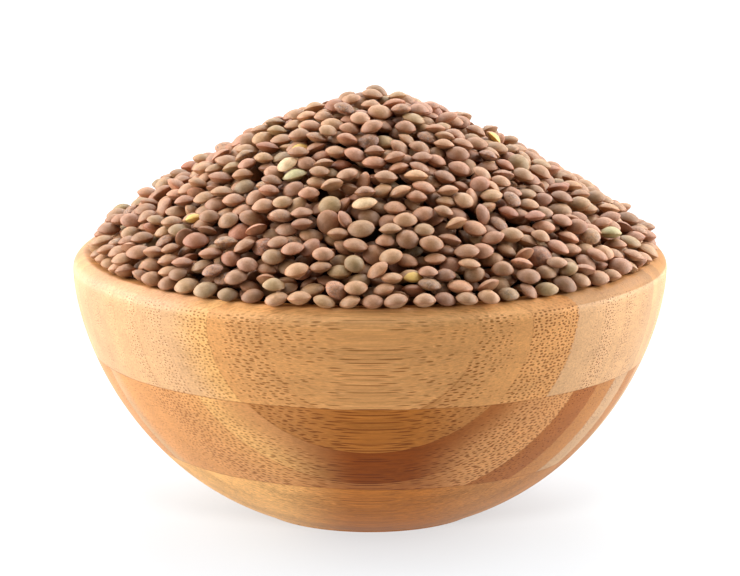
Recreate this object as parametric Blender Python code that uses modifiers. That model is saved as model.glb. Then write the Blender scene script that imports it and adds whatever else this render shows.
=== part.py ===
"""Turned bowl of laminated bamboo, heaped with dry lentils.

Metres, +Z up. The origin is the centre of the flat underside of the bowl, so
the bowl stands on z = 0. Both pieces are turned about Z: the bowl is one shell
with a soft rim, and the lentils are one solid out to the uneven top of the
heap, which fills the bowl and laps a little way over its rim.
"""

import math
import random

import bpy

# ---------------------------------------------------------------- bowl, outside
BOWL_RADIUS = 0.0620        # widest, just under the rim
BOWL_HEIGHT = 0.0554        # top of the rim
WIDEST_Z = 0.0521           # height of the widest circle
OUTER_DEPTH = 0.05542       # depth of the full outer curve below WIDEST_Z
CURVE_P = 1.668             # the wall follows a superellipse with these powers
CURVE_Q = 2.246
FOOT_RADIUS = 0.0216        # flat ring of the underside
FOOT_EDGE = 0.0006          # height of the eased edge round the foot
OUTER_STEPS = 13            # rows of facets down the outside

# ------------------------------------------------------------------ bowl, rim
CREST_RADIUS = 0.0598       # where the outer rounding meets the flat of the rim
RIM_FLAT_IN = 0.0568        # inner end of the flat
RIM_DROP = 0.0001           # the flat falls a little towards the lentils
INNER_RADIUS = 0.0556       # mouth of the bowl inside
INNER_EASE = 0.0012         # rounding from the flat into the mouth

# --------------------------------------------------------------- bowl, inside
FLOOR_Z = 0.0080            # thickness of the bottom
INNER_STEPS = 8

# ---------------------------------------------------------------- lentil heap
GAP = 0.0003                # clearance between the heap and the wood
HEAP_FOOT_RADIUS = 0.0588   # the heap laps over the rim to here
HEAP_BULGE_RADIUS = 0.0593  # outermost lentils hang out this far
HEAP_EDGE_Z = 0.0593        # height of the dome at its edge
HEAP_EDGE_RADIUS = 0.0580
HEAP_RISE = 0.0302          # dome height above HEAP_EDGE_Z
HEAP_POWER = 1.36           # 1 is a cone, 2 a paraboloid
DOME_STEPS = 22
FILL_STEPS = 7

LUMP_PITCH = 0.0078         # spacing of the lumps that the lentils make
LUMP_RADIUS = 0.0056
LUMP_HEIGHT = 0.0018
LUMP_SEED = 5

BOWL_SEGMENTS = 72
HEAP_SEGMENTS = 80


def outer_radius(z):
    """Radius of the bowl's outside at height z, up to the widest circle."""
    u = (WIDEST_Z - z) / OUTER_DEPTH
    return BOWL_RADIUS * (1.0 - u ** CURVE_P) ** (1.0 / CURVE_Q)


def inner_radius(z, clearance=0.0):
    """Radius of the hollow at height z; clearance shrinks it all round."""
    top = BOWL_HEIGHT - INNER_EASE
    u = (top - z) / (top - FLOOR_Z - clearance)
    u = min(max(u, 0.0), 1.0)
    return (INNER_RADIUS - clearance) * (1.0 - u ** CURVE_P) ** (1.0 / CURVE_Q)


def dome_z(r):
    """Height of the heap's smooth dome at radius r."""
    return HEAP_EDGE_Z + HEAP_RISE * (1.0 - (r / HEAP_EDGE_RADIUS) ** HEAP_POWER)


def inner_wall(clearance, steps):
    """Profile of the hollow from the axis up to the mouth."""
    top = BOWL_HEIGHT - INNER_EASE
    low = FLOOR_Z + clearance
    points = [(0.0, low)]
    for i in range(1, steps + 1):
        # rows crowd together near the floor, where the curve turns fastest
        z = low + (top - low) * (i / steps) ** 2.0
        points.append((inner_radius(z, clearance), z))
    return points


def bowl_profile():
    """From the middle of the hollow's floor up, over the rim and down to the foot."""
    points = inner_wall(0.0, INNER_STEPS)
    flat_in_z = BOWL_HEIGHT - RIM_DROP
    # inner easing, a quarter ellipse from the mouth to the flat
    for i in range(1, 4):
        a = math.pi / 2.0 * i / 3.0
        points.append((INNER_RADIUS + (RIM_FLAT_IN - INNER_RADIUS) * (1.0 - math.cos(a)),
                       BOWL_HEIGHT - INNER_EASE + (INNER_EASE - RIM_DROP) * math.sin(a)))
    points[-1] = (RIM_FLAT_IN, flat_in_z)
    points.append((CREST_RADIUS, BOWL_HEIGHT))
    # outer rounding, a quarter ellipse from the crest to the widest circle
    for i in range(1, 5):
        a = math.pi / 2.0 * i / 4.0
        points.append((CREST_RADIUS + (BOWL_RADIUS - CREST_RADIUS) * math.sin(a),
                       WIDEST_Z + (BOWL_HEIGHT - WIDEST_Z) * math.cos(a)))
    # outer wall, rows closer together towards the foot
    for i in range(1, OUTER_STEPS + 1):
        t = i / OUTER_STEPS
        z = FOOT_EDGE + (WIDEST_Z - FOOT_EDGE) * (1.0 - t) ** 1.5
        points.append((outer_radius(z), z))
    points.append((FOOT_RADIUS, 0.0))
    points.append((0.0, 0.0))
    return points


def heap_profile():
    """From the top of the heap out over the rim, then down inside the bowl."""
    points = []
    for i in range(DOME_STEPS + 1):
        r = 0.0570 * i / DOME_STEPS
        points.append((r, dome_z(r)))
    rest = BOWL_HEIGHT + GAP + 0.00005
    points.append((HEAP_FOOT_RADIUS - 0.0002, 0.0585))
    points.append((HEAP_BULGE_RADIUS, 0.0570))
    points.append((HEAP_FOOT_RADIUS, rest))
    points.append((RIM_FLAT_IN - 0.0002, rest))
    points.append((INNER_RADIUS - GAP + 0.0003, BOWL_HEIGHT - 0.0001))
    points.extend(reversed(inner_wall(GAP, FILL_STEPS)))
    return points


def material(name, colour, roughness):
    mat = bpy.data.materials.new(name)
    mat.use_nodes = True
    shader = mat.node_tree.nodes["Principled BSDF"]
    shader.inputs["Base Color"].default_value = (*colour, 1.0)
    shader.inputs["Roughness"].default_value = roughness
    shader.inputs["Metallic"].default_value = 0.0
    mat.diffuse_color = (*colour, 1.0)
    return mat


def turned(name, points, segments, collection):
    """A closed profile from axis to axis, turned round Z."""
    mesh = bpy.data.meshes.new(name)
    mesh.from_pydata([(r, 0.0, z) for r, z in points],
                     [(i, i + 1) for i in range(len(points) - 1)], [])
    obj = bpy.data.objects.new(name, mesh)
    collection.objects.link(obj)
    screw = obj.modifiers.new("turn", 'SCREW')
    screw.axis = 'Z'
    screw.angle = 2.0 * math.pi
    screw.screw_offset = 0.0
    screw.steps = segments
    screw.render_steps = segments
    screw.use_merge_vertices = True
    screw.merge_threshold = 0.00002
    screw.use_smooth_shade = True
    return obj


def lump_centres():
    """Lumps spaced evenly by a sunflower spiral, then moved and sized unevenly."""
    uneven = random.Random(LUMP_SEED)
    centres = []
    k = 0
    while True:
        r = LUMP_PITCH * 0.55 * math.sqrt(k)
        if r > 0.0575:
            return centres
        a = math.radians(137.508) * k
        shift = 0.3 * LUMP_PITCH if k else 0.0
        x = r * math.cos(a) + uneven.uniform(-shift, shift)
        y = r * math.sin(a) + uneven.uniform(-shift, shift)
        h = LUMP_HEIGHT * (uneven.uniform(0.15, 1.0) if k else 0.85)
        centres.append((x, y, h))
        k += 1


def main():
    for obj in list(bpy.data.objects):
        bpy.data.objects.remove(obj, do_unlink=True)

    scene = bpy.context.scene
    scene.unit_settings.system = 'METRIC'
    parts = bpy.data.collections.new("bowl_of_lentils")
    scene.collection.children.link(parts)

    bamboo = material("bamboo", (0.72, 0.40, 0.17), 0.45)
    lentil_skin = material("lentil_skin", (0.37, 0.20, 0.12), 0.60)

    # the bowl, turned from a glued block of bamboo
    bowl = turned("bowl", bowl_profile(), BOWL_SEGMENTS, parts)
    bowl.data.materials.append(bamboo)

    # the lentils: the turned fill first, then its top is made uneven
    guide = turned("lentils_turned", heap_profile(), HEAP_SEGMENTS, parts)
    bpy.context.view_layer.update()
    depsgraph = bpy.context.evaluated_depsgraph_get()
    mesh = bpy.data.meshes.new_from_object(guide.evaluated_get(depsgraph))
    mesh.name = "lentils"
    bpy.data.objects.remove(guide, do_unlink=True)

    centres = lump_centres()
    top = dome_z(0.0)
    for vertex in mesh.vertices:
        x, y, z = vertex.co
        r = math.hypot(x, y)
        if z < 0.0580 or r > 0.0572:
            continue
        raised = 0.0
        for cx, cy, h in centres:
            d2 = (x - cx) ** 2 + (y - cy) ** 2
            if d2 < LUMP_RADIUS ** 2:
                raised = max(raised, h * (1.0 - d2 / LUMP_RADIUS ** 2))
        vertex.co.z = min(z - 0.0006 + raised, top + 0.0007)
    mesh.shade_smooth()
    mesh.set_sharp_from_angle(angle=math.radians(50.0))
    mesh.materials.clear()
    mesh.materials.append(lentil_skin)
    lentils = bpy.data.objects.new("lentils", mesh)
    parts.objects.link(lentils)


main()
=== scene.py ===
"""Looks of a turned bamboo bowl heaped with dry brown lentils."""

import math

import bpy
import numpy as np
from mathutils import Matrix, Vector


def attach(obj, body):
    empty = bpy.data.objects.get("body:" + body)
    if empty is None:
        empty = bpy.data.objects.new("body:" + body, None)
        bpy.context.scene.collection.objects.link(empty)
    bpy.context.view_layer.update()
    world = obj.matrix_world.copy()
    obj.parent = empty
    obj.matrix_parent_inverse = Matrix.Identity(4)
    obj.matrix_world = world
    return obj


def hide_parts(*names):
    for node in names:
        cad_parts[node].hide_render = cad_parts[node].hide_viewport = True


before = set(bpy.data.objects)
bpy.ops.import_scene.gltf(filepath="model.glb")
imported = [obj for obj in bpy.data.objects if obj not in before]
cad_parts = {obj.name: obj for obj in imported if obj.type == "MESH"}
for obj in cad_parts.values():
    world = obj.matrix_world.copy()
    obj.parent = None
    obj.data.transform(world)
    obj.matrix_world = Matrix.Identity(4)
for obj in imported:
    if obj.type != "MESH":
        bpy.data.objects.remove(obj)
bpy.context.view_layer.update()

MM = 0.001

# ---------------------------------------------------------------------- camera
# The view of the photograph: 12 degrees above the table, from the front.
BOWL_R = 62.0
ELEVATION = math.radians(12.007)
AIM_Z = 46.754
DISTANCE = 12.0 * BOWL_R
LENS = 172.57

# ------------------------------------------------------------------ bowl, in mm
BOWL_H = 55.4
WIDEST_Z = 52.1
OUTER_DEPTH = 55.42
CURVE_P = 1.668
CURVE_Q = 2.246
FOOT_R = 21.6
CREST_R = 59.8
FLAT_IN = 56.8
INNER_R = 55.6
EASE = 1.2
FLOOR_Z = 8.0

BEVEL_Z = 53.05         # lower edge of the bevel outside the rim
SEAM_1 = 34.75          # glue line between the top and the middle layer
SEAM_2 = 15.3           # glue line between the middle and the bottom layer

# ------------------------------------------------------------------ heap, in mm
EDGE_Z = 59.3
EDGE_R = 58.0
RISE = 30.0
POWER = 1.36
HEAP_X = 0.5
TOP_LIMIT = 90.1
SEED = 12


def outer_radius(z):
    u = np.clip((WIDEST_Z - z) / OUTER_DEPTH, 0.0, 1.0)
    return BOWL_R * (1.0 - u ** CURVE_P) ** (1.0 / CURVE_Q)


def inner_radius(z, clearance=0.0):
    top = BOWL_H - EASE
    u = np.clip((top - z) / (top - FLOOR_Z - clearance), 0.0, 1.0)
    return (INNER_R - clearance) * (1.0 - u ** CURVE_P) ** (1.0 / CURVE_Q)


def dome_z(x, y):
    r = np.hypot(x - HEAP_X, y)
    return EDGE_Z + RISE * (1.0 - np.minimum(r / EDGE_R, 1.4) ** POWER)


# ------------------------------------------------------------------- mesh tools
def make_object(name, verts, quads, smooth=True, tris=None):
    """A mesh from numpy arrays: quads (n, 4) and tris (m, 3)."""
    verts = np.asarray(verts, np.float32)
    quads = np.asarray(quads, np.int32).reshape(-1, 4)
    tris = np.zeros((0, 3), np.int32) if tris is None else np.asarray(tris, np.int32).reshape(-1, 3)
    mesh = bpy.data.meshes.new(name)
    mesh.vertices.add(len(verts))
    mesh.vertices.foreach_set("co", verts.ravel())
    loops = np.concatenate([quads.ravel(), tris.ravel()])
    mesh.loops.add(len(loops))
    mesh.loops.foreach_set("vertex_index", loops)
    n4, n3 = len(quads), len(tris)
    mesh.polygons.add(n4 + n3)
    starts = np.concatenate([np.arange(n4) * 4, n4 * 4 + np.arange(n3) * 3]).astype(np.int32)
    mesh.polygons.foreach_set("loop_start", starts)
    mesh.polygons.foreach_set("use_smooth", np.full(n4 + n3, smooth))
    mesh.update(calc_edges=True)
    mesh.validate()
    obj = bpy.data.objects.new(name, mesh)
    bpy.context.scene.collection.objects.link(obj)
    return obj


def lathe(name, profile, segments):
    """A closed profile [(r, z)] from axis to axis, turned round Z, in mm.
    It runs down the outer side, so faces point out."""
    profile = np.array(profile, float)
    inner = profile[1:-1]
    ang = np.arange(segments) * 2.0 * math.pi / segments
    ring = np.stack([np.cos(ang), np.sin(ang)], 1)
    verts = [np.array([[0.0, 0.0, profile[0, 1]]])]
    for r, z in inner:
        verts.append(np.concatenate([ring * r, np.full((segments, 1), z)], 1))
    verts.append(np.array([[0.0, 0.0, profile[-1, 1]]]))
    verts = np.concatenate(verts) * MM
    j = np.arange(segments)
    jn = (j + 1) % segments
    quads, tris = [], []
    for i in range(len(inner) - 1):
        a, b = 1 + i * segments, 1 + (i + 1) * segments
        quads.append(np.stack([a + j, b + j, b + jn, a + jn], 1))
    last = len(verts) - 1
    end = 1 + (len(inner) - 1) * segments
    tris.append(np.stack([np.zeros_like(j), 1 + j, 1 + jn], 1))
    tris.append(np.stack([end + j, np.full_like(j, last), end + jn], 1))
    return make_object(name, verts, np.concatenate(quads), True, np.concatenate(tris))


# ------------------------------------------------------------------- node tools
def lin(rgb):
    """sRGB bytes to linear."""
    out = []
    for c in rgb[:3]:
        c = c / 255.0
        out.append(c / 12.92 if c <= 0.04045 else ((c + 0.055) / 1.055) ** 2.4)
    return tuple(out)


class Graph:
    def __init__(self, name):
        self.mat = bpy.data.materials.new(name)
        self.mat.use_nodes = True
        self.tree = self.mat.node_tree
        self.shader = self.tree.nodes["Principled BSDF"]

    def node(self, kind, **props):
        n = self.tree.nodes.new(kind)
        for k, v in props.items():
            setattr(n, k, v)
        return n

    def put(self, socket, value):
        if isinstance(value, bpy.types.NodeSocket):
            self.tree.links.new(value, socket)
        elif value is not None:
            if hasattr(socket.default_value, "__len__") and not hasattr(value, "__len__"):
                value = [value] * len(socket.default_value)
            if hasattr(socket.default_value, "__len__") and len(value) == 3 and len(socket.default_value) == 4:
                value = (*value, 1.0)
            socket.default_value = value

    def math(self, op, a, b=None, c=None, clamp=False):
        n = self.node("ShaderNodeMath", operation=op, use_clamp=clamp)
        for s, v in zip(n.inputs, (a, b, c)):
            self.put(s, v)
        return n.outputs[0]

    def step(self, x, low, high):
        """Smooth step from low to high, either way round."""
        n = self.node("ShaderNodeMapRange", interpolation_type='SMOOTHSTEP')
        self.put(n.inputs["Value"], x)
        self.put(n.inputs["From Min"], min(low, high))
        self.put(n.inputs["From Max"], max(low, high))
        self.put(n.inputs["To Min"], 0.0 if low < high else 1.0)
        self.put(n.inputs["To Max"], 1.0 if low < high else 0.0)
        return n.outputs["Result"]

    def remap(self, x, a, b, c, d):
        n = self.node("ShaderNodeMapRange")
        for s, v in zip(n.inputs, (x, a, b, c, d)):
            self.put(s, v)
        return n.outputs["Result"]

    def vec(self, x, y, z):
        n = self.node("ShaderNodeCombineXYZ")
        for s, v in zip(n.inputs, (x, y, z)):
            self.put(s, v)
        return n.outputs[0]

    def split(self, v):
        n = self.node("ShaderNodeSeparateXYZ")
        self.put(n.inputs[0], v)
        return n.outputs[0], n.outputs[1], n.outputs[2]

    def vmul(self, v, k):
        n = self.node("ShaderNodeVectorMath", operation='MULTIPLY')
        self.put(n.inputs[0], v)
        self.put(n.inputs[1], k)
        return n.outputs[0]

    def vadd(self, a, b):
        n = self.node("ShaderNodeVectorMath", operation='ADD')
        self.put(n.inputs[0], a)
        self.put(n.inputs[1], b)
        return n.outputs[0]

    def mix(self, fac, a, b, blend='MIX'):
        n = self.node("ShaderNodeMix", data_type='RGBA', blend_type=blend)
        self.put(n.inputs[0], fac)
        self.put(n.inputs[6], a)
        self.put(n.inputs[7], b)
        return n.outputs[2]

    def fmix(self, fac, a, b):
        n = self.node("ShaderNodeMix", data_type='FLOAT')
        self.put(n.inputs[0], fac)
        self.put(n.inputs[2], a)
        self.put(n.inputs[3], b)
        return n.outputs[0]

    def noise(self, vec, scale=1.0, detail=2.0, rough=0.5, distortion=0.0):
        n = self.node("ShaderNodeTexNoise", noise_dimensions='3D')
        self.put(n.inputs["Vector"], vec)
        self.put(n.inputs["Scale"], scale)
        self.put(n.inputs["Detail"], detail)
        self.put(n.inputs["Roughness"], rough)
        self.put(n.inputs["Distortion"], distortion)
        return n.outputs["Fac"]

    def voronoi(self, vec, scale=1.0, randomness=1.0, dimensions='3D'):
        n = self.node("ShaderNodeTexVoronoi", voronoi_dimensions=dimensions, feature='F1')
        self.put(n.inputs["Vector"], vec)
        self.put(n.inputs["Scale"], scale)
        self.put(n.inputs["Randomness"], randomness)
        return n.outputs["Distance"], n.outputs["Color"]

    def steps(self, index, colours, first):
        """Colour (and alpha) of a whole-numbered index, which starts at first."""
        n = self.node("ShaderNodeValToRGB")
        ramp = n.color_ramp
        ramp.interpolation = 'CONSTANT'
        count = len(colours)
        for k, c in enumerate(colours):
            e = ramp.elements[0] if k == 0 else (ramp.elements[1] if k == 1 else ramp.elements.new(k / count))
            e.position = k / count
            e.color = c
        t = self.math('DIVIDE', self.math('ADD', index, 0.5 - first), float(count))
        self.put(n.inputs[0], t)
        return n.outputs[0], n.outputs[1]

    def scale_colour(self, colour, k):
        return self.vmul(colour, self.vec(k, k, k) if isinstance(k, bpy.types.NodeSocket) else (k, k, k))

    def bump(self, height, strength, distance, normal=None):
        n = self.node("ShaderNodeBump")
        self.put(n.inputs["Strength"], strength)
        self.put(n.inputs["Distance"], distance)
        self.put(n.inputs["Height"], height)
        self.put(n.inputs["Normal"], normal)
        return n.outputs[0]


# ---------------------------------------------------------------------- bamboo
# Plain shades of natural to steamed bamboo, sRGB.
TONES = {
    "cream": (220, 165, 100),
    "honey": (210, 150, 90),
    "straw": (205, 160, 115),
    "wheat": (200, 140, 85),
    "sand": (190, 150, 110),
    "toffee": (180, 120, 65),
    "ginger": (175, 105, 40),
    "nut": (160, 95, 45),
    "umber": (135, 65, 10),
}

# Each layer is glued up from upright strips whose fibres run along X, so a
# strip is a slab between two planes of constant Y, and its ends show at the
# left and the right of the bowl. A row is one strip, from the front one
# backwards: its tone at its front and back face, and how marked the dark ends
# of the fibre bundles are at each. A cane is denser towards its rind, so the
# bundles crowd to one face of nearly every strip.
TOP_LEFT = [
    ("honey", "honey", 0.45, 0.45),
    ("honey", "honey", 0.90, 0.30),
    ("cream", "straw", 0.95, 0.25),
    ("straw", "straw", 0.72, 0.15),
    ("straw", "straw", 0.55, 0.08),
    ("straw", "sand", 0.40, 0.10),
    ("sand", "sand", 0.45, 0.10)]
TOP_MIDDLE = [
    ("honey", "honey", 0.40, 0.40),
    ("toffee", "toffee", 0.60, 0.20),
    ("toffee", "toffee", 0.70, 0.20),
    ("toffee", "toffee", 0.50, 0.20)]
TOP_RIGHT = [
    ("honey", "honey", 0.28, 0.28),
    ("honey", "honey", 0.60, 0.12),
    ("honey", "honey", 0.95, 1.10),
    ("straw", "straw", 0.08, 0.30),
    ("straw", "straw", 0.75, 0.15),
    ("straw", "straw", 0.50, 0.10),
    ("straw", "sand", 0.35, 0.10)]
MID_LEFT = [
    ("toffee", "toffee", 0.95, 1.00),
    ("wheat", "cream", 0.10, 0.95),
    ("honey", "wheat", 1.00, 1.00),
    ("wheat", "wheat", 0.85, 0.35),
    ("wheat", "wheat", 0.45, 0.25),
    ("wheat", "sand", 0.35, 0.15)]
MID_MIDDLE = [
    ("ginger", "ginger", 0.75, 0.80),
    ("umber", "umber", 0.35, 0.40),
    ("nut", "nut", 0.60, 0.50),
    ("nut", "nut", 0.40, 0.20)]
MID_RIGHT = [
    ("toffee", "toffee", 0.50, 0.60),
    ("nut", "wheat", 0.15, 0.85),
    ("wheat", "wheat", 0.95, 1.00),
    ("nut", "nut", 0.40, 0.35),
    ("toffee", "toffee", 0.30, 0.20),
    ("sand", "sand", 0.35, 0.10)]
# The bottom layer is paler at the left and darkest in the middle, partly painted light falling from the left and
# painted shade low in front.
LOW_LEFT = [("cream", "cream", 0.25, 0.15)]
LOW_MIDDLE = [("ginger", "ginger", 0.18, 0.18)]
LOW_RIGHT = [("toffee", "toffee", 0.25, 0.15)]


def strip_rows(seen, count, seed):
    """Rows for every strip: those in front as listed, then others of like tone."""
    rng = np.random.default_rng(seed)
    listed = [(TONES[a], TONES[b], u, v) for a, b, u, v in seen]
    rows = listed[:count]
    while len(rows) < count:
        a, b, u, v = listed[-1 - int(rng.integers(0, min(len(listed), 2)))]
        k = rng.uniform(0.96, 1.03)
        rows.append((tuple(c * k for c in a), tuple(c * k for c in b),
                     float(np.clip(u + rng.uniform(-0.2, 0.2), 0.05, 1.0)), float(np.clip(v, 0.05, 0.35))))
    return rows


def bamboo_material():
    g = Graph("bamboo_laminated")
    coord = g.node("ShaderNodeTexCoord").outputs["Object"]
    p = g.vmul(coord, (1000.0, 1000.0, 1000.0))
    x, y, z = g.split(p)

    # tilt and slight waver of the two glue lines across the bowl
    waver = g.math('MULTIPLY', g.math('SUBTRACT', g.noise(g.vmul(p, (0.05, 0.05, 0.0)), 1.0, 1.0), 0.5), 0.5)
    z1 = g.math('ADD', g.math('ADD', z, g.math('MULTIPLY', x, 0.006)), waver)
    z2 = g.math('ADD', g.math('ADD', z, g.math('MULTIPLY', x, 0.014)), waver)
    top = g.math('GREATER_THAN', z1, SEAM_1)
    low = g.math('LESS_THAN', z2, SEAM_2)

    # strips of each layer, numbered from the front
    s_top = g.math('DIVIDE', g.math('ADD', y, 58.3), 5.9)
    lean = g.math('MULTIPLY', g.math('SUBTRACT', 54.0, z), g.remap(s_top, 0.9, 2.0, 0.011, 0.004))
    s_top = g.math('SUBTRACT', s_top, lean)
    near = g.math('MAXIMUM', g.math('SUBTRACT', 1.0, g.math('ABSOLUTE', g.math('SUBTRACT', s_top, 1.0))), 0.0)
    s_top = g.math('ADD', s_top, g.math('MULTIPLY', near, 0.18))
    s_mid = g.math('DIVIDE', g.math('ADD', y, 52.6), 5.8)
    s_low = g.math('DIVIDE', g.math('ADD', y, 43.0), 6.1)
    blur = g.noise(g.vmul(p, (0.7, 2.6, 2.6)), 1.0, 1.0, 0.6)
    blur = g.math('MULTIPLY', g.math('SUBTRACT', blur, 0.5), g.math('MULTIPLY', g.step(g.math('ABSOLUTE', x), 24.0, 38.0), 0.16))
    s_top = g.math('ADD', s_top, blur)
    s_mid = g.math('ADD', s_mid, blur)
    s_low = g.math('ADD', s_low, blur)
    s = g.fmix(top, g.fmix(low, s_mid, s_low), s_top)
    f = g.math('FRACT', s)

    # left, middle and right part of each strip; the left parts are paler and the bottom layer's middle darker, partly
    # the wood's own tone and partly painted light and shade
    left = g.step(x, -2.0, -21.0)
    right = g.step(x, 7.0, 23.0)
    ends = []
    for end in (0, 1):
        layers = []
        for position, sides, count, seed in (
                (s_low, (LOW_LEFT, LOW_MIDDLE, LOW_RIGHT), 18, 5),
                (s_mid, (MID_LEFT, MID_MIDDLE, MID_RIGHT), 21, 3),
                (s_top, (TOP_LEFT, TOP_MIDDLE, TOP_RIGHT), 22, 1)):
            index = g.math('FLOOR', position)
            looks = []
            for k, seen in enumerate(sides):
                rows = strip_rows(seen, count, seed)
                looks.append(g.steps(index, [(*lin(r[end]), r[2 + end]) for r in rows], -1))
            colour = g.mix(right, g.mix(left, looks[1][0], looks[0][0]), looks[2][0])
            dots = g.fmix(right, g.fmix(left, looks[1][1], looks[0][1]), looks[2][1])
            layers.append((colour, dots))
        colour = g.mix(top, g.mix(low, layers[1][0], layers[0][0]), layers[2][0])
        dots = g.fmix(top, g.fmix(low, layers[1][1], layers[0][1]), layers[2][1])
        ends.append((colour, dots))
    across = g.step(f, 0.05, 0.95)
    tone = g.mix(across, ends[0][0], ends[1][0])
    amount = g.fmix(across, ends[0][1], ends[1][1])

    # slow and fine streaks along the fibres
    slow = g.noise(g.vmul(p, (0.008, 0.22, 0.22)), 1.0, 2.0, 0.5)
    fine = g.noise(g.vmul(p, (0.05, 2.2, 2.2)), 1.0, 3.0, 0.6)
    hair = g.noise(g.vmul(p, (0.12, 6.0, 6.0)), 1.0, 2.0, 0.5)
    grain = g.math('ADD', g.remap(slow, 0.3, 0.7, -0.08, 0.08), g.remap(fine, 0.3, 0.7, -0.12, 0.12))
    grain = g.math('ADD', grain, g.remap(hair, 0.3, 0.7, -0.09, 0.09))
    fuzz = g.noise(g.vmul(p, (0.9, 3.4, 3.4)), 1.0, 2.0, 0.6)
    grain = g.math('ADD', grain, g.remap(fuzz, 0.3, 0.7, -0.07, 0.07))
    grain = g.math('MULTIPLY', grain, g.math('ADD', 1.0, g.math('MULTIPLY', low, 0.8)))

    # fibre bundles: dots where they are cut across, dashes where the cut grazes them
    wob = g.noise(g.vmul(p, (0.03, 0.25, 0.25)), 1.0, 1.0, 0.5)
    q = g.vec(g.math('ADD', g.math('MULTIPLY', y, 1.62), g.math('MULTIPLY', wob, 1.9)),
              g.math('ADD', g.math('MULTIPLY', z, 1.62), g.math('MULTIPLY', wob, 1.3)), 0.0)
    dist, cell = g.voronoi(q, 1.0, 0.64, '2D')
    cell_r, cell_g, cell_b = g.split(cell)
    patch = g.noise(g.vmul(p, (0.03, 0.16, 0.16)), 1.0, 1.0, 0.5)
    amount = g.math('MULTIPLY', amount, g.remap(patch, 0.3, 0.7, 0.70, 1.25))
    dark = g.step(g.math('SUBTRACT', amount, g.math('MULTIPLY', cell_r, 0.42)), -0.12, 0.42)
    far = g.math('SQRT', g.math('ADD', g.math('MULTIPLY', x, x), g.math('MULTIPLY', y, y)))
    bevel = g.math('MULTIPLY', g.step(z, BEVEL_Z + 0.1, BEVEL_Z + 0.7), g.step(far, 58.8, 60.2))
    dark = g.math('MULTIPLY', dark, g.math('SUBTRACT', 1.0, g.math('MULTIPLY', bevel, 0.72)))
    size = g.math('ADD', g.remap(cell_g, 0.0, 1.0, 0.17, 0.25), g.math('MULTIPLY', amount, 0.05))
    near_dot = g.math('DIVIDE', dist, size)
    dot = g.math('MULTIPLY', g.step(near_dot, 1.28, 0.62), dark)
    halo = g.math('MULTIPLY', g.math('MULTIPLY', g.step(near_dot, 1.15, 1.6), g.step(near_dot, 2.6, 1.7)), dark)

    colour = g.mix(g.math('MULTIPLY', dot, g.fmix(right, 0.76, 1.0)), tone, g.mix(1.0, tone, (0.37, 0.24, 0.14, 1.0), 'MULTIPLY'))
    colour = g.mix(g.math('MULTIPLY', halo, g.remap(cell_b, 0.0, 1.0, 0.0, 0.8)), colour,
                   g.mix(1.0, tone, (1.18, 1.26, 1.42, 1.0), 'MULTIPLY'))
    colour = g.scale_colour(colour, g.math('ADD', 1.0, grain))

    # the bevel of the rim is paler in front as a painted highlight, most of all along its
    # lower edge, and a deeper tan at the right; the flat on top is darker all round as painted shade
    to_left = g.step(x, -22.0, -40.0)
    to_right = g.step(x, 24.0, 46.0)
    bevel = g.math('MULTIPLY', g.step(z, BEVEL_Z - 0.1, BEVEL_Z + 0.25), g.step(far, 58.8, 60.2))
    # the bevel's tint: paler in front as a painted highlight, redder at the left, darker and deeper tan at the right
    shade = g.mix(to_right, g.mix(to_left, (1.10, 1.14, 1.22, 1.0), (1.00, 0.90, 0.90, 1.0)), (0.64, 0.53, 0.37, 1.0))
    colour = g.mix(bevel, colour, g.mix(1.0, colour, shade, 'MULTIPLY'))
    # painted highlight: a paler band along the lower edge of the bevel, weaker at the right
    lip = g.math('MULTIPLY', g.step(z, BEVEL_Z - 1.6, BEVEL_Z - 0.1), g.step(z, BEVEL_Z + 1.5, BEVEL_Z + 0.5))
    lip = g.math('MULTIPLY', lip, g.remap(fine, 0.3, 0.7, 0.60, 1.0))
    lip = g.math('MULTIPLY', lip, g.math('SUBTRACT', 1.0, g.math('MULTIPLY', to_right, 0.40)))
    lip = g.math('MULTIPLY', lip, g.step(far, 59.0, 60.4))
    colour = g.mix(lip, colour, g.mix(1.0, colour, (1.12, 1.20, 1.36, 1.0), 'MULTIPLY'))
    # painted shade: the flat on top of the rim is darker, as if less light falls on it
    flat = g.math('MULTIPLY', g.step(z, BOWL_H - 1.4, BOWL_H - 0.5), g.step(far, 60.0, 58.8))
    colour = g.mix(flat, colour, g.mix(1.0, colour, (0.78, 0.62, 0.42, 1.0), 'MULTIPLY'))

    # glue lines
    seam = g.math('MINIMUM', g.math('ABSOLUTE', g.math('SUBTRACT', z1, SEAM_1)),
                  g.math('ABSOLUTE', g.math('SUBTRACT', z2, SEAM_2)))
    seam_line = g.math('MULTIPLY', g.step(seam, 0.20, 0.05), g.remap(slow, 0.35, 0.65, 0.15, 0.60))
    edge = g.math('MULTIPLY', g.math('MINIMUM', f, g.math('SUBTRACT', 1.0, f)), 5.9)
    strip_line = g.math('MULTIPLY', g.step(edge, 0.14, 0.03), g.remap(patch, 0.35, 0.65, 0.05, 0.45))
    line = g.math('MAXIMUM', seam_line, strip_line)
    colour = g.mix(line, colour, g.mix(1.0, colour, (0.55, 0.42, 0.32, 1.0), 'MULTIPLY'))

    g.put(g.shader.inputs["Base Color"], colour)
    rough = g.math('ADD', g.remap(fine, 0.3, 0.7, 0.42, 0.52), g.math('MULTIPLY', dot, 0.08))
    g.put(g.shader.inputs["Roughness"], rough)
    g.put(g.shader.inputs["Specular IOR Level"], 0.09)
    g.put(g.shader.inputs["Coat Weight"], 0.03)
    g.put(g.shader.inputs["Coat Roughness"], 0.30)
    height = g.math('ADD', g.math('MULTIPLY', hair, 0.4), g.math('MULTIPLY', dot, -0.8))
    height = g.math('ADD', height, g.math('MULTIPLY', line, -0.8))
    g.put(g.shader.inputs["Normal"], g.bump(height, 0.35, 0.00006))
    return g.mat


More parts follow.
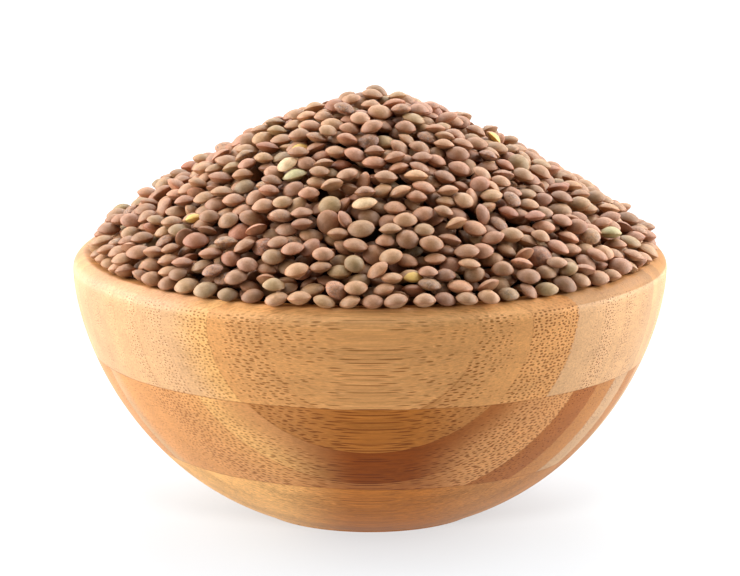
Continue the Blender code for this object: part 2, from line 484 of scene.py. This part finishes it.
def bowl_profile():
    """Down from the middle of the hollow's floor, up the inside, over the rim and down the outside."""
    top = BOWL_H - EASE
    points = [(0.0, FLOOR_Z)]
    for i in range(1, 29):
        z = FLOOR_Z + (top - FLOOR_Z) * (i / 28) ** 2.0
        points.append((float(inner_radius(z)), z))
    for i in range(1, 7):
        a = math.pi / 2.0 * i / 6.0
        points.append((INNER_R + (FLAT_IN - INNER_R) * (1.0 - math.cos(a)), top + (EASE - 0.1) * math.sin(a)))
    for i in range(1, 4):
        points.append((FLAT_IN + (CREST_R - 0.2 - FLAT_IN) * i / 3.0, BOWL_H - 0.1 + 0.09 * i / 3.0))
    # the outer edge of the rim is a soft bevel, with the start of the wall just under it
    for i in range(1, 15):
        a = math.pi / 2.0 * i / 14.0
        points.append((CREST_R - 0.2 + 2.26 * math.sin(a) ** 1.45,
                       BEVEL_Z + (BOWL_H - 0.01 - BEVEL_Z) * math.cos(a) ** 1.45))
    points.append((61.955, 52.6))
    points.append((BOWL_R, WIDEST_Z))
    for i in range(1, 45):
        t = i / 44
        z = 0.6 + (WIDEST_Z - 0.6) * (1.0 - t) ** 1.5
        points.append((float(outer_radius(z)), z))
    r_low = float(outer_radius(0.6))
    for i in range(1, 4):
        a = math.pi / 2.0 * i / 3.0
        points.append((FOOT_R + (r_low - FOOT_R) * math.cos(a), 0.6 * (1.0 - math.sin(a))))
    for r in (18.0, 12.0, 6.0):
        points.append((r, 0.0))
    points.append((0.0, 0.0))
    return points


# --------------------------------------------------------------- laying lentils
STEP = 0.25
HALF = 62.5
CELLS = int(2 * HALF / STEP) + 1
AXIS = np.linspace(-HALF, HALF, CELLS)


def ground():
    """What the first lentils lie on: the core of the heap, and the rim of the bowl."""
    gx, gy = np.meshgrid(AXIS, AXIS, indexing='ij')
    r = np.hypot(gx, gy)
    core = core_z(gx, gy)
    h = np.where(r < INNER_R, core, -60.0)
    inner = (r >= INNER_R) & (r < FLAT_IN)
    ease = BOWL_H - EASE * (1.0 - np.sqrt(np.clip(1.0 - ((FLAT_IN - r) / 1.2) ** 2, 0.0, 1.0)))
    flat = (r >= FLAT_IN) & (r <= CREST_R)
    out = (r > CREST_R) & (r <= BOWL_R)
    over = np.clip((r - CREST_R) / (BOWL_R - CREST_R), 0.0, 1.0)
    fall = WIDEST_Z + (BOWL_H - WIDEST_Z) * (1.0 - over ** 1.4) ** 0.7
    rim = np.select([inner, flat, out], [ease, BOWL_H, fall], -60.0)
    return gx, gy, np.maximum(h, rim)


def core_z(x, y):
    """Top of the hidden core, well below the lentils that show."""
    r = np.hypot(x, y)
    return dome_z(x, y) - 8.0 - 5.0 * np.clip((r - 49.0) / 6.0, 0.0, 1.0) ** 2


def lens_span(cx, cy, n, a, t):
    """Under and upper side of a lens at height 0: the overlap of two balls."""
    rho = (a * a + t * t) / (2.0 * t)
    d = rho - t
    i0, i1 = max(int((cx - a + HALF) / STEP), 0), min(int((cx + a + HALF) / STEP) + 2, CELLS)
    j0, j1 = max(int((cy - a + HALF) / STEP), 0), min(int((cy + a + HALF) / STEP) + 2, CELLS)
    x = AXIS[i0:i1, None] - cx
    y = AXIS[None, j0:j1] - cy
    dx, dy, dz = d * n[0], d * n[1], d * n[2]
    q1 = rho * rho - (x - dx) ** 2 - (y - dy) ** 2
    q2 = rho * rho - (x + dx) ** 2 - (y + dy) ** 2
    s1 = np.sqrt(np.maximum(q1, 0.0))
    s2 = np.sqrt(np.maximum(q2, 0.0))
    low = np.maximum(dz - s1, -dz - s2)
    up = np.minimum(dz + s1, -dz + s2)
    ok = (q1 > 0.0) & (q2 > 0.0) & (low < up)
    return (slice(i0, i1), slice(j0, j1)), low, up, ok


def reach(angle):
    """How far out a lentil's middle may lie: further over the rim in front than at the left."""
    front = 59.9
    left = 56.4
    right = 58.2
    c, s = math.cos(angle), math.sin(angle)
    side = left if c < 0 else right
    return side + (front - side) * abs(s) ** 1.3


def lay_lentils():
    """Drops lentils one by one where the heap is lowest. Each tries several places and leans,
    then makes small moves that let it sink, until it lies on its neighbours."""
    rng = np.random.default_rng(SEED)
    gx, gy, h = ground()
    goal = dome_z(gx, gy)
    coarse = 6
    cx_grid = AXIS[::coarse]
    r_coarse = np.hypot(*np.meshgrid(cx_grid, cx_grid, indexing='ij'))
    blocked = r_coarse > 60.0
    goal_c = goal[::coarse, ::coarse]
    laid = []

    # the outermost row, side by side on the rim and tipped a little outwards
    angle = 0.02
    while angle < 2.0 * math.pi - 0.03:
        a = float(np.clip(rng.normal(2.31, 0.15), 1.9, 2.75))
        t = a * float(np.clip(rng.normal(0.53, 0.035), 0.44, 0.62))
        c, sn = math.cos(angle), math.sin(angle)
        r = reach(angle) - abs(rng.normal(0.0, 0.45))
        r = min(r, (BOWL_R - 0.2 - a) / max(abs(c), abs(sn)))
        cx, cy = r * c, r * sn
        out = rng.uniform(0.05, 0.5) * min(max((r - 57.0) / 1.5, 0.0), 1.0)
        tip = rng.normal(0.0, 0.22, 2)
        n = np.array([out * c + tip[0], out * sn + tip[1], 1.0])
        n /= np.linalg.norm(n)
        sl, low, up, ok = lens_span(cx, cy, n, a, t)
        z = float(np.max((h[sl] - low)[ok]))
        if z - t < BOWL_H + 0.9:
            h[sl] = np.where(ok, np.maximum(h[sl], z + up), h[sl])
            laid.append((cx, cy, z, *n, a, t, z + float(np.max(up[ok]))))
        angle += a * rng.uniform(0.9, 1.25) / r

    while len(laid) < 3400:
        deficit = goal_c - h[::coarse, ::coarse]
        deficit[blocked] = -99.0
        if deficit.max() < 1.35:
            break
        pick = deficit + rng.uniform(0.0, 1.6, deficit.shape)
        flat = pick.ravel()
        where = np.argpartition(flat, -7)[-7:]
        a = float(np.clip(rng.normal(2.31, 0.15), 1.9, 2.75))
        t = a * float(np.clip(rng.normal(0.53, 0.035), 0.44, 0.62))
        best = None
        for q in where:
            i, j = divmod(int(q), deficit.shape[1])
            if deficit[i, j] < 1.1:
                continue
            cx = cx_grid[i] + rng.uniform(-0.8, 0.8)
            cy = cx_grid[j] + rng.uniform(-0.8, 0.8)
            r = max(math.hypot(cx, cy), 0.5)
            far = reach(math.atan2(cy, cx))
            if r > far:
                if r > far + 1.5:
                    continue
                cx, cy, r = cx * far / r, cy * far / r, far
            slope = RISE * POWER / EDGE_R * (r / EDGE_R) ** (POWER - 1.0)
            lean = rng.uniform(0.0, 0.6) * slope if r < 57.0 else rng.uniform(0.25, 0.95) * slope
            tip = rng.normal(0.0, 0.23, 2) if rng.uniform() < 0.82 else rng.normal(0.0, 0.9, 2)
            n = np.array([lean * cx / r + tip[0], lean * cy / r + tip[1], 1.0])
            n /= np.linalg.norm(n)
            sl, low, up, ok = lens_span(cx, cy, n, a, t)
            z = float(np.max((h[sl] - low)[ok]))
            key = z - float(dome_z(cx, cy))
            if best is None or key < best[0]:
                best = (key, z, cx, cy, n, (i, j))
        if best is None:
            i, j = divmod(int(where[np.argmax(flat[where])]), deficit.shape[1])
            blocked[i, j] = True
            continue
        _, z, cx, cy, n, cell = best
        r = max(math.hypot(cx, cy), 0.5)
        over = 0.34 * min(max((r - 56.0) / 2.5, 0.0), 1.0)
        rest = np.array([over * cx / r, over * cy / r, 1.0]) / math.hypot(over, 1.0)
        for k in range(20):
            amp = 1.1 - k / 20.0
            mx = cx + rng.normal(0.0, 0.45) * amp
            my = cy + rng.normal(0.0, 0.45) * amp
            m = n + rng.normal(0.0, 0.18, 3) * amp
            m /= np.linalg.norm(m)
            if m[2] < 0:
                m = -m
            if math.hypot(mx, my) > reach(math.atan2(my, mx)):
                continue
            sl, low, up, ok = lens_span(mx, my, m, a, t)
            zz = float(np.max((h[sl] - low)[ok]))
            # a seed also tends to come to rest flat, or draped over the edge
            if zz - 0.9 * float(m @ rest) < z - 0.9 * float(n @ rest) - 1e-4:
                z, cx, cy, n = zz, mx, my, m
        sl, low, up, ok = lens_span(cx, cy, n, a, t)
        top = z + float(np.max(up[ok]))
        wide = max(abs(cx) + a * math.sqrt(1.0 - n[0] ** 2), abs(cy) + a * math.sqrt(1.0 - n[1] ** 2))
        if wide > BOWL_R - 0.15:
            blocked[cell] = rng.uniform() < 0.15
            continue
        if top > float(dome_z(cx, cy)) + 0.9 or top > TOP_LIMIT - 0.15:
            blocked[cell] = True
            continue
        h[sl] = np.where(ok, np.maximum(h[sl], z + up), h[sl])
        laid.append((cx, cy, z, *n, a, t, top))
    return np.array(laid)


# -------------------------------------------------------------- lentil meshes
def lens_template(segments, angles):
    """Rings from the upper pole to the lower one. angles are degrees from the
    pole, the last being the rim at 90."""
    t_list, side, phi = [0.0], [1.0], [0.0]
    ang = np.arange(segments) * 2.0 * math.pi / segments
    down = [(a, 1.0) for a in angles] + [(a, -1.0) for a in reversed(angles[:-1])]
    for a, s in down:
        t_list += [math.radians(a)] * segments
        side += [s] * segments
        phi += list(ang)
    t_list.append(0.0)
    side.append(-1.0)
    phi.append(0.0)
    j = np.arange(segments)
    jn = (j + 1) % segments
    quads, tris = [], []
    for i in range(len(down) - 1):
        a, b = 1 + i * segments, 1 + (i + 1) * segments
        quads.append(np.stack([a + j, b + j, b + jn, a + jn], 1))
    last = 1 + len(down) * segments
    end = 1 + (len(down) - 1) * segments
    tris.append(np.stack([np.zeros_like(j), 1 + j, 1 + jn], 1))
    tris.append(np.stack([end + j, np.full_like(j, last), end + jn], 1))
    return (np.array(t_list), np.array(side), np.array(phi),
            np.concatenate(quads), np.concatenate(tris))


TEMPLATES = [
    lens_template(20, [17.0, 34.0, 51.0, 67.0, 80.0, 90.0]),
    lens_template(14, [24.0, 47.0, 70.0, 90.0]),
    lens_template(9, [38.0, 70.0, 90.0]),
]


def lens_verts(template, rows, shape):
    """Vertices of many lentils at once, in mm, and where each lies on its lens."""
    t, side, phi = template[:3]
    count = len(rows)
    a = rows[:, 6, None]
    h = rows[:, 7, None] * (1.0 + side[None, :] * shape["lop"][:, None])
    s = np.sin(t)[None, :]
    c = np.cos(t)[None, :]
    turn = phi[None, :]
    rim = (1.0 + shape["e2"][:, None] * np.cos(2.0 * (turn - shape["p2"][:, None]))
           + shape["e3"][:, None] * np.cos(3.0 * (turn - shape["p3"][:, None])))
    d = np.angle(np.exp(1j * (turn - shape["ph"][:, None])))
    rim = rim - shape["notch"][:, None] * np.exp(-(d / 0.30) ** 2) * s ** 4
    rad = a * s * rim
    z = side[None, :] * h * c ** (2.0 * shape["k"][:, None])
    x = rad * np.cos(turn)
    y = rad * np.sin(turn)
    ux, uy = x / a, y / a
    # a slight saddle
    z = z + a * shape["saddle"][:, None] * (ux * ux - uy * uy)
    # dimples
    for key in ("d1", "d2"):
        dim = shape[key]
        dist2 = (ux - dim[:, 0:1]) ** 2 + (uy - dim[:, 1:2]) ** 2
        face = (side[None, :] * dim[:, 3:4] > 0)
        z = z - side[None, :] * h * dim[:, 2:3] * np.exp(-dist2 / 0.09) * face
    # crumpled ones
    w = shape["crumple"][:, None]
    ph = shape["p2"][:, None]
    z = z * (1.0 + w * np.sin(7.0 * ux + 3.0 * np.sin(4.0 * uy + ph)) * np.sin(6.0 * uy + ph))
    rad_k = 1.0 - w * 0.45 * (0.5 + 0.5 * np.sin(5.0 * turn + ph)) * s
    x, y = x * rad_k, y * rad_k
    local = np.stack([x, y, z], 2)
    n = rows[:, 3:6]
    helper = np.where(np.abs(n[:, 0:1]) < 0.8, np.array([[1.0, 0.0, 0.0]]), np.array([[0.0, 1.0, 0.0]]))
    u = helper - n * np.sum(helper * n, 1, keepdims=True)
    u /= np.linalg.norm(u, axis=1, keepdims=True)
    v = np.cross(n, u)
    basis = np.stack([u, v, n], 2)
    world = np.einsum('nij,nkj->nki', basis, local) + rows[:, None, 0:3]
    rimness = np.repeat(s ** 3, count, 0)
    scar = np.exp(-(d / 0.20) ** 2) * np.clip((s - 0.80) / 0.15, 0.0, 1.0)
    return world, rimness, scar


# Seed-coat kinds: sRGB of the coat and how the lots spread round it.
KINDS = {
    "rose": ((161, 114, 82), 0.26),
    "tan": ((162, 121, 84), 0.40),
    "brown": ((150, 105, 71), 0.25),
    "olive": ((154, 123, 82), 0.06),
    "russet": ((148, 94, 61), 0.03),
}

# Lentils that stand out in the photograph, by the pixel they show at.
SPECIAL = [
    (412, 280, "tan", "chip"), (493, 137, "tan", "chip"), (298, 149, "brown", "chip"),
    (184, 215, "tan", "chip"), (296, 181, "olive", "green"), (291, 166, "tan", "pale"),
    (333, 274, "olive", ""), (271, 281, "olive", ""), (425, 131, "brown", "mottle"),
    (345, 103, "brown", "mottle"), (352, 131, "rose", "crumple"), (393, 167, "rose", "round"),
    (503, 168, "russet", ""), (553, 181, "russet", ""), (197, 253, "russet", ""),
    (268, 150, "russet", ""), (232, 254, "russet", ""), (151, 226, "russet", ""),
    (612, 235, "olive", "green"), (627, 237, "olive", ""), (159, 237, "brown", "mottle"),
    (129, 273, "brown", "crumple"), (129, 207, "brown", "mottle"), (410, 117, "olive", ""),
    (570, 260, "olive", ""), (330, 195, "olive", ""), (365, 203, "tan", "pale")]


def pixel_of(x, y, z):
    """Where a point in mm shows in the 740 x 576 frame."""
    e = ELEVATION
    zz = z - AIM_Z
    up = zz * math.cos(e) + y * math.sin(e)
    depth = DISTANCE + y * math.cos(e) - zz * math.sin(e)
    f = LENS / 36.0 * 740.0
    return 370.0 + f * x / depth, 288.0 - f * up / depth, depth


def lentil_material(name, warm):
    g = Graph(name)
    tint = g.node("ShaderNodeAttribute", attribute_name="tint").outputs["Color"]
    marks = g.node("ShaderNodeAttribute", attribute_name="marks")
    mottle, chip, rim = g.split(marks.outputs["Color"])
    scar = marks.outputs["Alpha"]
    coord = g.node("ShaderNodeTexCoord").outputs["Object"]
    p = g.vmul(coord, (1000.0, 1000.0, 1000.0))

    broad = g.noise(p, 0.55, 2.0, 0.5)
    cloud = g.noise(p, 1.7, 3.0, 0.6)
    fine = g.noise(p, 6.5, 3.0, 0.6)
    speck = g.noise(p, 14.0, 2.0, 0.6)

    value = g.math('ADD', g.remap(cloud, 0.3, 0.7, 0.88, 1.12), g.remap(fine, 0.3, 0.7, -0.08, 0.08))
    value = g.math('ADD', value, g.remap(speck, 0.35, 0.65, -0.04, 0.04))
    # darker patches are also redder
    colour = g.vmul(tint, g.vec(value, g.math('POWER', value, 1.2), g.math('POWER', value, 1.45)))
    # coats drift between pinkish and greenish within one seed
    colour = g.mix(g.remap(broad, 0.35, 0.65, 0.0, 0.35), colour,
                   g.mix(1.0, colour, (1.08, 0.95, 0.90, 1.0), 'MULTIPLY'))
    colour = g.mix(g.remap(broad, 0.65, 0.35, 0.0, 0.25), colour,
                   g.mix(1.0, colour, (0.95, 1.03, 0.92, 1.0), 'MULTIPLY'))
    # the coat reddens towards the rim, and the middle of each face is paler
    colour = g.mix(g.math('MULTIPLY', g.step(rim, 0.50, 0.95), 0.75), colour,
                   g.mix(1.0, colour, (1.02, 0.84, 0.70, 1.0), 'MULTIPLY'))
    # painted shade: a darker band along the very edge of each seed, where it turns away from the light
    colour = g.mix(g.math('MULTIPLY', g.step(rim, 0.93, 1.0), 0.45), colour,
                   g.mix(1.0, colour, (0.74, 0.60, 0.50, 1.0), 'MULTIPLY'))
    colour = g.mix(g.math('MULTIPLY', g.step(rim, 0.35, 0.0), 0.6), colour,
                   g.mix(1.0, colour, (1.05, 1.06, 1.04, 1.0), 'MULTIPLY'))
    # the small scar where the seed hung in its pod
    colour = g.mix(g.math('MULTIPLY', scar, 0.55), colour, g.mix(1.0, colour, (0.45, 0.36, 0.30, 1.0), 'MULTIPLY'))
    # dark marbling on some
    marble = g.step(g.noise(p, 1.25, 4.0, 0.7, 0.6), 0.48, 0.58)
    colour = g.mix(g.math('MULTIPLY', marble, mottle), colour,
                   g.mix(1.0, colour, (0.50, 0.50, 0.54, 1.0), 'MULTIPLY'))
    pale = g.step(g.noise(g.vadd(p, (31.0, 7.0, 3.0)), 1.5, 4.0, 0.7, 0.4), 0.52, 0.64)
    colour = g.mix(g.math('MULTIPLY', pale, g.math('MULTIPLY', mottle, 0.55)), colour,
                   (*lin((168, 148, 136)), 1.0))
    # where the coat has flaked off, the yellow seed shows
    ragged = g.math('ADD', chip, g.remap(cloud, 0.3, 0.7, -0.05, 0.05))
    bare = g.step(ragged, 0.46, 0.54)
    yellow = g.mix(cloud, (*lin((226, 178, 84)), 1.0), (*lin((240, 206, 120)), 1.0))
    colour = g.mix(bare, colour, yellow)

    g.put(g.shader.inputs["Base Color"], colour)
    g.put(g.shader.inputs["Roughness"], g.remap(fine, 0.3, 0.7, 0.50, 0.64))
    g.put(g.shader.inputs["Specular IOR Level"], 0.52)
    relief = g.math('ADD', g.math('MULTIPLY', cloud, 1.0), g.math('MULTIPLY', fine, 0.30))
    relief = g.math('ADD', relief, g.math('MULTIPLY', bare, -0.8))
    g.put(g.shader.inputs["Normal"], g.bump(relief, 0.45, 0.00014))
    return g.mat


def build_lentils(laid):
    rng = np.random.default_rng(SEED + 1)
    count = len(laid)
    names = list(KINDS)
    shares = np.array([KINDS[k][1] for k in names])
    kind = rng.choice(len(names), size=count, p=shares / shares.sum())
    mottle = np.where(rng.uniform(size=count) < 0.10, rng.uniform(0.4, 1.0, count), rng.uniform(0.0, 0.18, count))
    chip = np.zeros(count)
    shape = {
        "lop": rng.uniform(-0.14, 0.14, count),
        "e2": rng.normal(0.0, 0.030, count), "p2": rng.uniform(0, 6.28, count),
        "e3": rng.normal(0.0, 0.014, count), "p3": rng.uniform(0, 6.28, count),
        "notch": np.where(rng.uniform(size=count) < 0.5, rng.uniform(0.02, 0.06, count), 0.0),
        "ph": rng.uniform(0, 6.28, count),
        "k": np.clip(rng.normal(0.80, 0.06, count), 0.66, 0.92),
        "saddle": rng.normal(0.0, 0.016, count),
        "crumple": np.where(rng.uniform(size=count) < 0.05, rng.uniform(0.05, 0.13, count), 0.0),
        "d1": np.stack([rng.uniform(-0.6, 0.6, count), rng.uniform(-0.6, 0.6, count),
                        np.where(rng.uniform(size=count) < 0.35, rng.uniform(0.05, 0.20, count), 0.0),
                        rng.choice([-1.0, 1.0], count)], 1),
        "d2": np.stack([rng.uniform(-0.7, 0.7, count), rng.uniform(-0.7, 0.7, count),
                        np.where(rng.uniform(size=count) < 0.25, rng.uniform(0.04, 0.14, count), 0.0),
                        rng.choice([-1.0, 1.0], count)], 1),
    }
    tint = np.zeros((count, 3))
    for k, name in enumerate(names):
        base = np.array(lin(KINDS[name][0]))
        m = kind == k
        n = int(m.sum())
        value = np.clip(rng.normal(1.0, 0.11, (n, 1)), 0.72, 1.28)
        drift = rng.normal(0.0, 0.032, (n, 3)) * np.array([0.6, 0.8, 1.4])
        tint[m] = base * value ** np.array([1.0, 1.1, 1.25]) * (1.0 + drift)

    # the ones that stand out
    px, py, depth = pixel_of(laid[:, 0], laid[:, 1], laid[:, 2])
    buried = dome_z(laid[:, 0], laid[:, 1]) - laid[:, 8]
    taken = set()
    for sx, sy, name, what in SPECIAL:
        score = np.hypot(px - sx, py - sy) + 6.0 * np.maximum(buried - 0.8, 0.0) + 0.15 * (depth - depth.min())
        for i in np.argsort(score):
            if int(i) not in taken:
                break
        i = int(i)
        taken.add(i)
        kind[i] = names.index(name)
        tint[i] = np.array(lin(KINDS[name][0])) * rng.uniform(0.95, 1.08)
        mottle[i] = 0.0
        if what == "mottle":
            mottle[i] = 1.0
        elif what == "chip":
            chip[i] = 1.0
        elif what == "green":
            tint[i] = lin((168, 158, 112))
        elif what == "pale":
            tint[i] = lin((200, 168, 128))
        elif what == "crumple":
            shape["crumple"][i] = 0.12

    level = np.where(buried < 1.7, 0, np.where(buried < 3.9, 1, 2))
    made = []
    for k, name in enumerate(names):
        verts, quads, tris, tints, marks, base = [], [], [], [], [], 0
        for lod in range(3):
            idx = np.nonzero((kind == k) & (level == lod))[0]
            if not len(idx):
                continue
            sub = {key: val[idx] for key, val in shape.items()}
            world, rimness, scar = lens_verts(TEMPLATES[lod], laid[idx], sub)
            nv = world.shape[1]
            verts.append(world.reshape(-1, 3) * MM)
            off = base + np.arange(len(idx))[:, None, None] * nv
            quads.append((TEMPLATES[lod][3][None] + off).reshape(-1, 4))
            tris.append((TEMPLATES[lod][4][None] + off).reshape(-1, 3))
            base += nv * len(idx)
            tints.append(np.repeat(tint[idx], nv, 0))
            # flaked patch: a soft blob near one side of the lens, on the camera's side
            away = world - world.mean(1, keepdims=True)
            look = np.array([0.25, -0.93, 0.27])
            blob = (away @ look) / np.max(np.abs(away @ look), 1, keepdims=True)
            c = chip[idx][:, None] * np.clip(0.5 + 1.4 * (blob - 0.55), 0.0, 1.0)
            m = np.stack([np.repeat(mottle[idx], nv), c.ravel(), rimness.ravel(), scar.ravel()], 1)
            marks.append(m)
        obj = make_object("lentils_" + name, np.concatenate(verts), np.concatenate(quads), True, np.concatenate(tris))
        n = len(obj.data.vertices)
        for label, values in (("tint", np.concatenate(tints)), ("marks", np.concatenate(marks))):
            attribute = obj.data.attributes.new(label, 'FLOAT_COLOR', 'POINT')
            full = np.ones((n, 4), np.float32)
            full[:, :values.shape[1]] = values
            attribute.data.foreach_set("color", full.ravel())
        obj.data.materials.append(lentil_material("coat_" + name, name == "russet"))
        made.append(obj)
    return made


def core_profile():
    """The hidden middle of the heap, inside the lentils and clear of the bowl."""
    points = []
    for i in range(37):
        r = 54.0 * i / 36
        points.append((r, float(core_z(HEAP_X + r, 0.0)) - 0.3))
    end = points[-1][1]
    low = FLOOR_Z + 0.6
    for i in range(1, 20):
        z = low + (min(end, 48.0) - 1.5 - low) * (1.0 - i / 19.0) ** 1.6
        points.append((min(float(inner_radius(z, 0.6)), 54.0), z))
    points = [p for p in points if p[0] > 1e-6 or p is points[0]]
    points.append((0.0, low))
    return points


def core_material():
    g = Graph("heap_core")
    coord = g.node("ShaderNodeTexCoord").outputs["Object"]
    p = g.vmul(coord, (1000.0, 1000.0, 1000.0))
    dist, cell = g.voronoi(p, 0.24, 1.0)
    # painted shade: the core is darker than any seed, and darker still towards the edges of its cells, as shade deep
    # in the heap and between seeds
    tone = g.mix(g.split(cell)[0], (*lin((96, 64, 46)), 1.0), (*lin((70, 46, 34)), 1.0))
    shade = g.remap(dist, 0.1, 0.9, 1.0, 0.35)
    g.put(g.shader.inputs["Base Color"], g.scale_colour(tone, shade))
    g.put(g.shader.inputs["Roughness"], 0.8)
    g.put(g.shader.inputs["Specular IOR Level"], 0.2)
    g.put(g.shader.inputs["Normal"], g.bump(g.math('MULTIPLY', dist, -1.0), 0.6, 0.0012))
    return g.mat


# ----------------------------------------------------------------------- build
bowl = lathe("bowl_turned", bowl_profile(), 256)
bowl.data.materials.append(bamboo_material())
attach(bowl, "root")
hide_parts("bowl")

laid = lay_lentils()
pieces = build_lentils(laid)
core = lathe("heap_core", core_profile(), 96)
core.data.materials.append(core_material())
for piece in pieces + [core]:
    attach(piece, "root")
    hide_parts("lentils")


# ----------------------------------------------------------------------- stage
def floor_material():
    """A pale table that glows as painted light, so that it goes white round and behind the bowl, but
    not right in front of it; the glow dips under the bowl as a painted shadow."""
    g = Graph("pale_floor")
    place = g.node("ShaderNodeTexCoord").outputs["Object"]
    away = g.node("ShaderNodeVectorMath", operation='DISTANCE')
    g.put(away.inputs[0], place)
    g.put(away.inputs[1], (-0.08, GLOW_Y, 0.0))
    front = g.node("ShaderNodeVectorMath", operation='DISTANCE')
    g.put(front.inputs[0], place)
    g.put(front.inputs[1], (0.06, -0.36 - 1.0, 0.0))
    # painted light: the table glows round and behind the bowl, but not right in front of it
    glow = g.math('MULTIPLY', g.step(away.outputs["Value"], 0.9, 0.5), g.step(front.outputs["Value"], 0.17, 0.31))
    # painted shadow: the glow is weaker in a soft disc under the bowl
    under = g.node("ShaderNodeVectorMath", operation='LENGTH')
    g.put(under.inputs[0], g.vmul(g.vadd(place, (0.0, 1.0 - 0.015, 0.0)), (1.0, 1.7, 0.0)))
    glow = g.math('MULTIPLY', glow, g.math('SUBTRACT', 1.0, g.math('MULTIPLY', g.step(under.outputs["Value"], 0.063, 0.045), 0.25)))
    # the table and its glow are a touch blue, which offsets the warm light thrown on the table from the bowl
    g.put(g.shader.inputs["Base Color"], (0.238, 0.25, 0.262, 1.0))
    g.put(g.shader.inputs["Roughness"], 0.9)
    g.put(g.shader.inputs["Specular IOR Level"], 0.1)
    g.put(g.shader.inputs["Emission Color"], (0.985, 1.0, 1.012, 1.0))
    g.put(g.shader.inputs["Emission Strength"], g.math('MULTIPLY', g.math('ADD', 0.40, g.math('MULTIPLY', glow, 0.60)), GLOW))
    return g.mat


GLOW = 0.66
GLOW_Y = 0.4 - 1.0      # in the floor's own frame, whose middle is 1 m behind the bowl's
bpy.ops.mesh.primitive_plane_add(size=8.0, location=(0.0, 1.0, 0.0))
floor = bpy.context.object
floor.name = "floor"
floor.data.materials.append(floor_material())

scene = bpy.context.scene
world = bpy.data.worlds.new("studio")
scene.world = world
world.use_nodes = True
background = world.node_tree.nodes["Background"]
background.inputs["Color"].default_value = (1.0, 1.0, 1.0, 1.0)
# a pale wall beyond the table, which gives hardly any light
seen = world.node_tree.nodes.new("ShaderNodeLightPath")
pale = world.node_tree.nodes.new("ShaderNodeMath")
pale.operation = 'MULTIPLY_ADD'
world.node_tree.links.new(seen.outputs["Is Camera Ray"], pale.inputs[0])
pale.inputs[1].default_value = 0.7
pale.inputs[2].default_value = 0.02
world.node_tree.links.new(pale.outputs[0], background.inputs["Strength"])


def soft_box(name, azimuth, elevation, radiance, colour=(1.0, 1.0, 1.0), size=0.8, distance=1.0):
    """A square soft box that faces the bowl. Azimuth 0 is in front, 90 at the right."""
    a, e = math.radians(azimuth), math.radians(elevation)
    toward = Vector((math.sin(a) * math.cos(e), -math.cos(a) * math.cos(e), math.sin(e)))
    data = bpy.data.lights.new(name, 'AREA')
    data.shape = 'SQUARE'
    data.size = size
    data.energy = math.pi * size * size * radiance
    data.color = colour
    obj = bpy.data.objects.new(name, data)
    obj.location = toward * distance + Vector((0.0, 0.0, 0.04))
    obj.rotation_euler = (-toward).to_track_quat('-Z', 'Y').to_euler()
    scene.collection.objects.link(obj)
    return obj


soft_box("key_left", -60, 10, 3.1)
soft_box("side_left", -90, 10, 5.2)
soft_box("high_left", -110, 38, 4.5)
soft_box("back_left", -120, 15, 2.7)
soft_box("side_right", 90, 10, 6.3)
soft_box("back_right", 120, 15, 2.7)
soft_box("high_right", 120, 40, 4.8)
soft_box("top", 0, 90, 0.8)
soft_box("back_low", 180, 20, 0.9)
soft_box("back_high", 180, 50, 4.3)

camera_data = bpy.data.cameras.new("camera")
camera = bpy.data.objects.new("camera", camera_data)
scene.collection.objects.link(camera)
camera_data.lens = LENS
camera_data.sensor_width = 36.0
camera_data.clip_start, camera_data.clip_end = 0.05, 20.0
aim = Vector((0.0, 0.0, AIM_Z * MM))
back = Vector((0.0, -math.cos(ELEVATION), math.sin(ELEVATION)))
camera.location = aim + back * DISTANCE * MM
camera.rotation_euler = (-back).to_track_quat('-Z', 'Y').to_euler()
scene.camera = camera
scene.view_settings.view_transform = 'Standard'
scene.view_settings.look = 'None'

bpy.context.view_layer.update()
